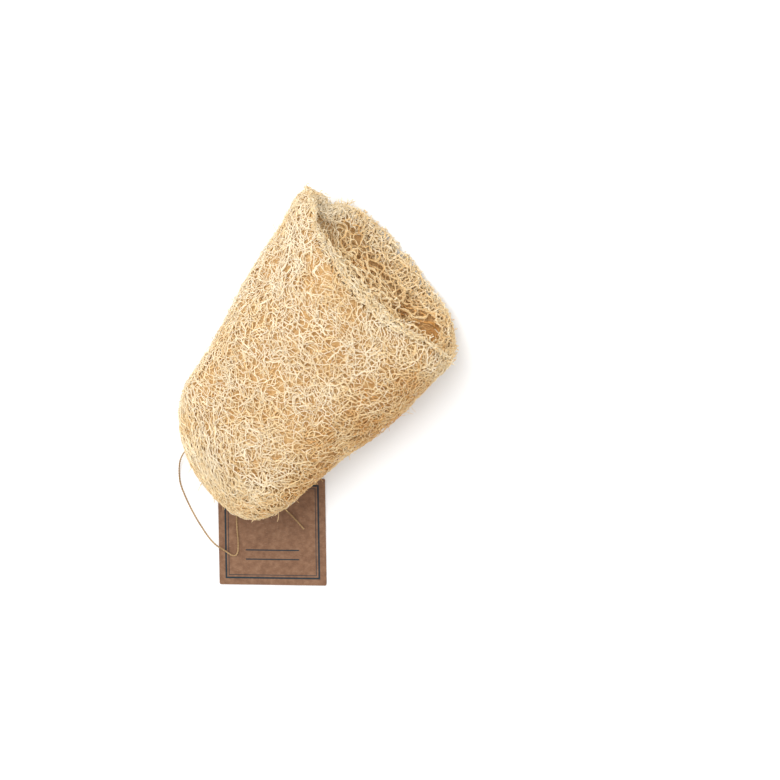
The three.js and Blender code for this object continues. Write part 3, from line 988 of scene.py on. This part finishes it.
def end_web(
    name, setback, pitch, fibres, spans, radius, tone, seed, reach=WEB_REACH, lowest=0, side=-WIDE_WIDTH
):
    """A web across part of the cut end, clear of its hollows, a setback behind its face.

    reach is the part's range from the middle to the wall, lowest its lower edge and side its edge
    in y."""
    draw = np.random.default_rng(seed)
    rows, columns = np.meshgrid(
        np.arange(-CUT_HALF_HEIGHT, CUT_HALF_HEIGHT, pitch * ROW_SHARE),
        np.arange(-CUT_HALF_WIDTH, CUT_HALF_WIDTH, pitch),
        indexing="ij",
    )
    columns = columns + pitch / 2 * (np.arange(len(rows)) % 2)[:, None]
    flat = np.stack([columns.ravel(), CUT_MIDDLE_Z + rows.ravel()], axis=1)
    flat += draw.uniform(-WEB_JITTER, WEB_JITTER, flat.shape) * pitch
    y, z = flat.T
    across = y / (CUT_HALF_WIDTH - WEB_INSET)
    up = z - CUT_MIDDLE_Z
    up = up / (CUT_HALF_HEIGHT - np.where(up > 0, WEB_UPPER_INSET, WEB_INSET))
    rim = np.abs(across) ** SECTION_FULLNESS + np.abs(up) ** SECTION_FULLNESS
    out = cup_reach(y, z)
    kept = (rim < 1) & (out > reach[0]) & (out < reach[1]) & (z > lowest) & (y > side)
    flat = flat[kept & (hollow_reach(y, z) > 1)]
    junctions, links = net_links(flat, np.full(len(flat), LONGEST_SIDE * pitch))
    y, z = flat[junctions].mean(axis=1).T
    from_hollow = hollow_reach(y, z)
    x = cut_x(y, z) - face_recess(y, z) * in_cup(y, z) - CORE_DISH_DEPTH * in_dish(from_hollow) - setback
    x = x + WEB_ROUGHNESS * pitch * draw.normal(size=len(y))
    points = np.stack([x, y, z], axis=1)
    normals = np.array([1.0, 0.0, 0.0]) + NORMAL_SPREAD * draw.normal(size=points.shape)
    clear = from_hollow > 1
    links = ties_among(links, clear)
    starts = draw.choice(np.flatnonzero(clear & tied(links)), fibres)
    net_piece(name, points, normals, links, starts, radius, tone, draw, spans, WEB_TANGLE, straight=0)


def hollow_chart(side):
    """A seed hollow's wall from inside the sponge to its dish: an oval that follows the section.

    It flares at its mouth by a soft step along it."""
    start = CUT_END - HOLLOW_LENGTH

    def place(share, length):
        """Points of the oval, drawn out along it so that its mouth follows the cut."""
        half_width, half_height, middle_y, middle_z, _ = section(start + length)
        flare = 1 + HOLLOW_FLARE * ease(length, HOLLOW_LENGTH - HOLLOW_FLARE_LENGTH, HOLLOW_LENGTH)
        across = HOLLOW_HALF_WIDTH * flare * np.cos(TURN * share)
        y = middle_y + half_width * (side * HOLLOW_OFFSET + across)
        z = middle_z + half_height * HOLLOW_HALF_HEIGHT * flare * np.sin(TURN * share)
        mouth = cut_x(y, z) - face_recess(y, z) - CORE_DISH_DEPTH / 2 - CUT_END
        return np.stack([start + length + mouth * length / HOLLOW_LENGTH, y, z], axis=-1)

    def girth(length):
        """Girth of a circle between the oval's two radii."""
        half_width, half_height, *_ = section(start + length)
        return math.pi * (HOLLOW_HALF_WIDTH * half_width + HOLLOW_HALF_HEIGHT * half_height)

    return Chart(place, girth, HOLLOW_LENGTH)


def hollow_net(name, side, depth, pitch, fibres, radius, tone, seed):
    """The net that lines a seed hollow, sunk by depth behind its wall."""
    draw = np.random.default_rng(seed)
    points, normals, links = chart_net(hollow_chart(side), pitch, HOLLOW_LENGTH, draw)
    sunk = depth + draw.uniform(-LINING_SPREAD, LINING_SPREAD, len(points))
    points = points + sunk[:, None] * normals
    starts = draw.integers(len(points), size=fibres)
    net_piece(name, points, normals, links, starts, radius, tone, draw)


def stray_piece(name, roots, headings, lengths, curl, radius, tone, draw):
    """Loose fibres from their roots along their headings, each bent to one side by curl lengths."""
    steps = np.linspace(0, 1, STRAY_POINTS)[None, :, None]
    sideways = unit(np.cross(headings, draw.normal(size=headings.shape)))
    lines = steps * headings[:, None] + curl * steps**2 * sideways[:, None]
    lines = roots[:, None] + lengths[:, None, None] * lines
    facing = np.repeat(np.cross(headings, sideways)[:, None], STRAY_POINTS, axis=1)
    thick = radius * draw.uniform(*STRAY_THICKNESSES, len(roots))
    fibre_piece(name, lines, facing, thick, tone + STRAY_TONE_SPREAD * draw.normal(size=len(roots)))


def cut_fringe(seed):
    """Cut fibre ends that stand out of the wall's rim, longer in a tuft on its lower edge."""
    draw = np.random.default_rng(seed)
    share, length = SPONGE.scatter(FRINGE_PITCH, STRAY_JITTER, NET_END, draw)
    points, normals = SPONGE.at(share, length)
    points = points - draw.uniform(0, WALL, len(points))[:, None] * normals
    beyond = beyond_cut(points)
    near = np.flatnonzero((beyond < 0) & (beyond > -FRINGE_STRETCH))
    pick = draw.choice(near, FRINGE_COUNT)
    headings = np.array([1.0, 0, 0]) + FRINGE_SCATTER * draw.normal(size=(FRINGE_COUNT, 3))
    headings = unit(headings + FRINGE_OUTWARDS * normals[pick])
    tuft = np.exp(-np.sum(((points[pick] - TUFT) / TUFT_SIZE) ** 2, axis=1))
    lengths = draw.uniform(*FRINGE_LENGTHS, FRINGE_COUNT) * (1 + TUFT_LENGTH * tuft)
    stray_piece("cut_fringe", points[pick], headings, lengths, curl=0.7, radius=0.17, tone=0.25, draw=draw)


def loose_fibres(seed):
    """Fine fibre ends that stand off the skin."""
    draw = np.random.default_rng(seed)
    share, length = SPONGE.scatter(LOOSE_PITCH, STRAY_JITTER, NET_END - NET_OVERRUN, draw)
    pick = draw.choice(len(share), LOOSE_COUNT)
    points, normals = SPONGE.at(share[pick], length[pick])
    headings = unit(draw.normal(size=(LOOSE_COUNT, 3)) + LOOSE_OUTWARDS * normals)
    lengths = draw.uniform(*LOOSE_LENGTHS, LOOSE_COUNT)
    roots = points - LOOSE_ROOT * normals
    stray_piece("loose_fibres", roots, headings, lengths, curl=0.5, radius=0.11, tone=0.1, draw=draw)


# Net layers: name, pitch, depth, spread, fibres, strand radius, tone, seed, band
# The outer nets are pale and the deeper ones tanner. This is partly the fibre's own colour and partly
# painted warm shade in the gaps among the fibres.
SKIN_NETS = (
    ("net_outer", 1.9, 0.3, 0.35, 3500, 0.15, 0.06, 11),
    ("net_second", 2, 0.75, 0.4, 3500, 0.19, 0.12, 12),
    ("net_third", 2.2, 1.3, 0.45, 3100, 0.25, 0.2, 13),
    ("net_deep", 2.6, 2.1, 0.45, 1700, 0.34, 0.38, 14),
    ("wall_inside", 2, 6.3, 0.5, 500, 0.2, 0.24, 15, 3),
)
# Webs of the cut end: name, setback, pitch, fibres, spans a step, strand radius, tone, seed, then
# reach, lowest and side
END_WEBS = (
    ("web_front", 0.3, 4.6, 130, 3, 0.25, 0.42, 21),
    ("web_second", 2, 4.6, 140, 2, 0.29, 0.5, 22),
    ("web_third", 4.5, 4.6, 200, 2, 0.34, 0.5, 23, (0, 1)),
    ("web_upper", 0.9, 2.6, 240, 1, 0.2, 0.28, 24, WEB_REACH, 36),
    # The rim faces and corner mats are toned tan. This is partly painted shade: it darkens the far wall and
    # warms the shade at the corner.
    ("rim_face", 0.2, 2, 500, 1, 0.16, 0.16, 25, RIM_REACH),
    ("rim_face_deep", 1, 2, 500, 1, 0.21, 0.26, 26, RIM_REACH),
    ("corner_mat", 0.7, 1.4, 380, 1, 0.13, 0.3, 27, CORNER_REACH, 0, CORNER_SIDE),
    ("corner_mat_deep", 1.5, 1.4, 380, 1, 0.18, 0.36, 28, CORNER_REACH, 0, CORNER_SIDE),
)
# Hollow linings: name, side, depth, pitch, fibres, strand radius, tone, seed
HOLLOW_NETS = (
    ("lining_left", 1, 0.3, 1.8, 180, 0.15, 0.24, 31),
    ("lining_left_deep", 1, 0.8, 1.8, 180, 0.2, 0.3, 32),
    ("lining_right", -1, 0.3, 1.8, 180, 0.15, 0.92, 33),
    ("lining_right_deep", -1, 0.8, 1.8, 180, 0.2, 1, 34),
)


# Twine and tag

def twisted_cord(route):
    """Two plies twisted round each other along a route: points and face groups.

    The route is smoothed and measured, and each ply winds round it once in a TWIST."""
    fine = smooth_lines(np.array(route, float)[None], ROUTE_STEPS)[0]
    reach = line_lengths(fine)
    along = np.linspace(0, reach[-1], int(reach[-1] / TWINE_STEP) + 2)
    path = np.stack([np.interp(along, reach, axis) for axis in fine.T], axis=1)
    heading = unit(np.gradient(path, axis=0))
    nearly_up = (0.15, 0.1, 1.0)
    across = unit(np.cross(heading, nearly_up))
    over = np.cross(across, heading)
    turn = TURN * along[:, None] / TWIST
    offset = TWINE_DIAMETER / 4 * (np.cos(turn) * across + np.sin(turn) * over)
    plies = np.stack([path + offset, path - offset])
    radius = np.full(plies.shape[:2], PLY_RADIUS)
    return tubes(plies, radius, np.stack([offset, -offset]), PLY_SIDES)


def cord_piece(name, *routes):
    """A piece of twine along each of its routes."""
    parts = [twisted_cord(route) for route in routes]
    firsts = np.cumsum([0] + [len(points) for points, _, _ in parts[:-1]])
    points = np.concatenate([part[0] for part in parts])
    walls, ends = (
        np.concatenate([part[kind] + first for part, first in zip(parts, firsts)]) for kind in (1, 2)
    )
    return new_piece(name, points, (walls, ends), TWINE)


def knot_route(centre, size):
    """An overhand knot pulled tight: three crossing loops of twine round a centre."""
    t = np.linspace(0, TURN, KNOT_POINTS)
    x = np.sin(t) + 2 * np.sin(2 * t)
    y = np.cos(t) - 2 * np.cos(2 * t)
    z = -1.1 * np.sin(3 * t)
    return np.array(centre) + size * np.stack([x, y, z], axis=1)


def twine_pieces():
    """The twine along its route, its knot at the tag's hole with a loose tail, and its tie at the sponge."""
    reach = TAG_SIZE / 2 - TAG_HOLE_INSET
    x, y = TAG_CENTRE
    hole = (x - reach * math.sin(TAG_TURN), y + reach * math.cos(TAG_TURN), KNOT_HEIGHT)
    twine = cord_piece("twine_line", TWINE_ROUTE)
    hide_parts("twine")
    knot = cord_piece("twine_bow", knot_route(hole, KNOT_SIZE), TAIL_ROUTE)
    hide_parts("twine_knot")
    tie = cord_piece("twine_tie", knot_route(TWINE_ROUTE[0], TIE_SIZE))


def tag_card():
    """The tag keeps its solid, and gets its card finish."""
    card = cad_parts["card_tag"]
    card.data.materials.clear()
    card.data.materials.append(KRAFT)


# Stage, light and camera

def pale_floor():
    """A wide, flat, pale floor: the surface that the object lies on."""
    material, finish, shader, place = new_finish("pale_floor")
    pale = finish.mix(finish.noise(place, scale=3.0), (0.92, 0.92, 0.92), (0.94, 0.94, 0.94))
    finish.feed(shader["Base Color"], pale)
    shader["Roughness"].default_value = 0.9
    half = FLOOR_HALF * MM
    corners = [(-half, -half, 0), (half, -half, 0), (half, half, 0), (-half, half, 0)]
    mesh = bpy.data.meshes.new("floor")
    mesh.from_pydata(corners, [], [(0, 1, 2, 3)])
    mesh.materials.append(material)
    in_scene("floor", mesh)


def camera_axes():
    """The picture's right, up and back directions in the frame."""
    level = np.array([math.cos(CAMERA_TILT), 0, -math.sin(CAMERA_TILT)])
    sideways = np.array([0.0, 1.0, 0.0])
    back = np.array([math.sin(CAMERA_TILT), 0, math.cos(CAMERA_TILT)])
    right = math.cos(CAMERA_ROLL) * level - math.sin(CAMERA_ROLL) * sideways
    up = math.sin(CAMERA_ROLL) * level + math.cos(CAMERA_ROLL) * sideways
    return right, up, back


def place_facing(thing, towards, distance):
    """Puts a camera or light at a distance from the aim, looking at it, the picture's way up."""
    up = camera_axes()[1]
    back = unit(np.array(towards))
    side = unit(np.cross(up, back))
    over = np.cross(back, side)
    spot = (np.array(CAMERA_AIM) + distance * back) * MM
    matrix = Matrix.Identity(4)
    for row in range(3):
        matrix[row] = (side[row], over[row], back[row], spot[row])
    thing.matrix_world = matrix


def add_camera():
    """The camera, far off with a long lens, so that the picture is nearly flat."""
    data = bpy.data.cameras.new("camera")
    data.lens = CAMERA_LENS
    camera = in_scene("camera", data)
    place_facing(camera, camera_axes()[2], CAMERA_DISTANCE)
    bpy.context.scene.camera = camera


def add_light(name, towards, distance, size, power):
    """A round area light at a distance from the aim, facing it."""
    data = bpy.data.lights.new(name, "AREA")
    data.shape = "DISK"
    data.size = size * MM
    data.energy = power
    place_facing(in_scene(name, data), towards, distance)


def studio():
    """A broad soft light from the picture's upper left and an even pale surround."""
    right, up, back = camera_axes()
    towards = back + KEY_UP * up - KEY_LEFT * right
    add_light("key", towards, KEY_DISTANCE, KEY_SIZE, KEY_POWER)
    world = bpy.data.worlds.new("surround")
    world.use_nodes = True
    surround = world.node_tree.nodes["Background"].inputs
    surround["Color"].default_value = (1, 1, 1, 1)
    surround["Strength"].default_value = SURROUND_STRENGTH
    bpy.context.scene.world = world
    bpy.context.scene.view_settings.view_transform = "Standard"


add_camera()
twine_pieces()
tag_card()
core_mass()
for layer in SKIN_NETS:
    skin_net(*layer)
for layer in END_WEBS:
    end_web(*layer)
for layer in HOLLOW_NETS:
    hollow_net(*layer)
cut_fringe(seed=41)
loose_fibres(seed=42)
pale_floor()
studio()
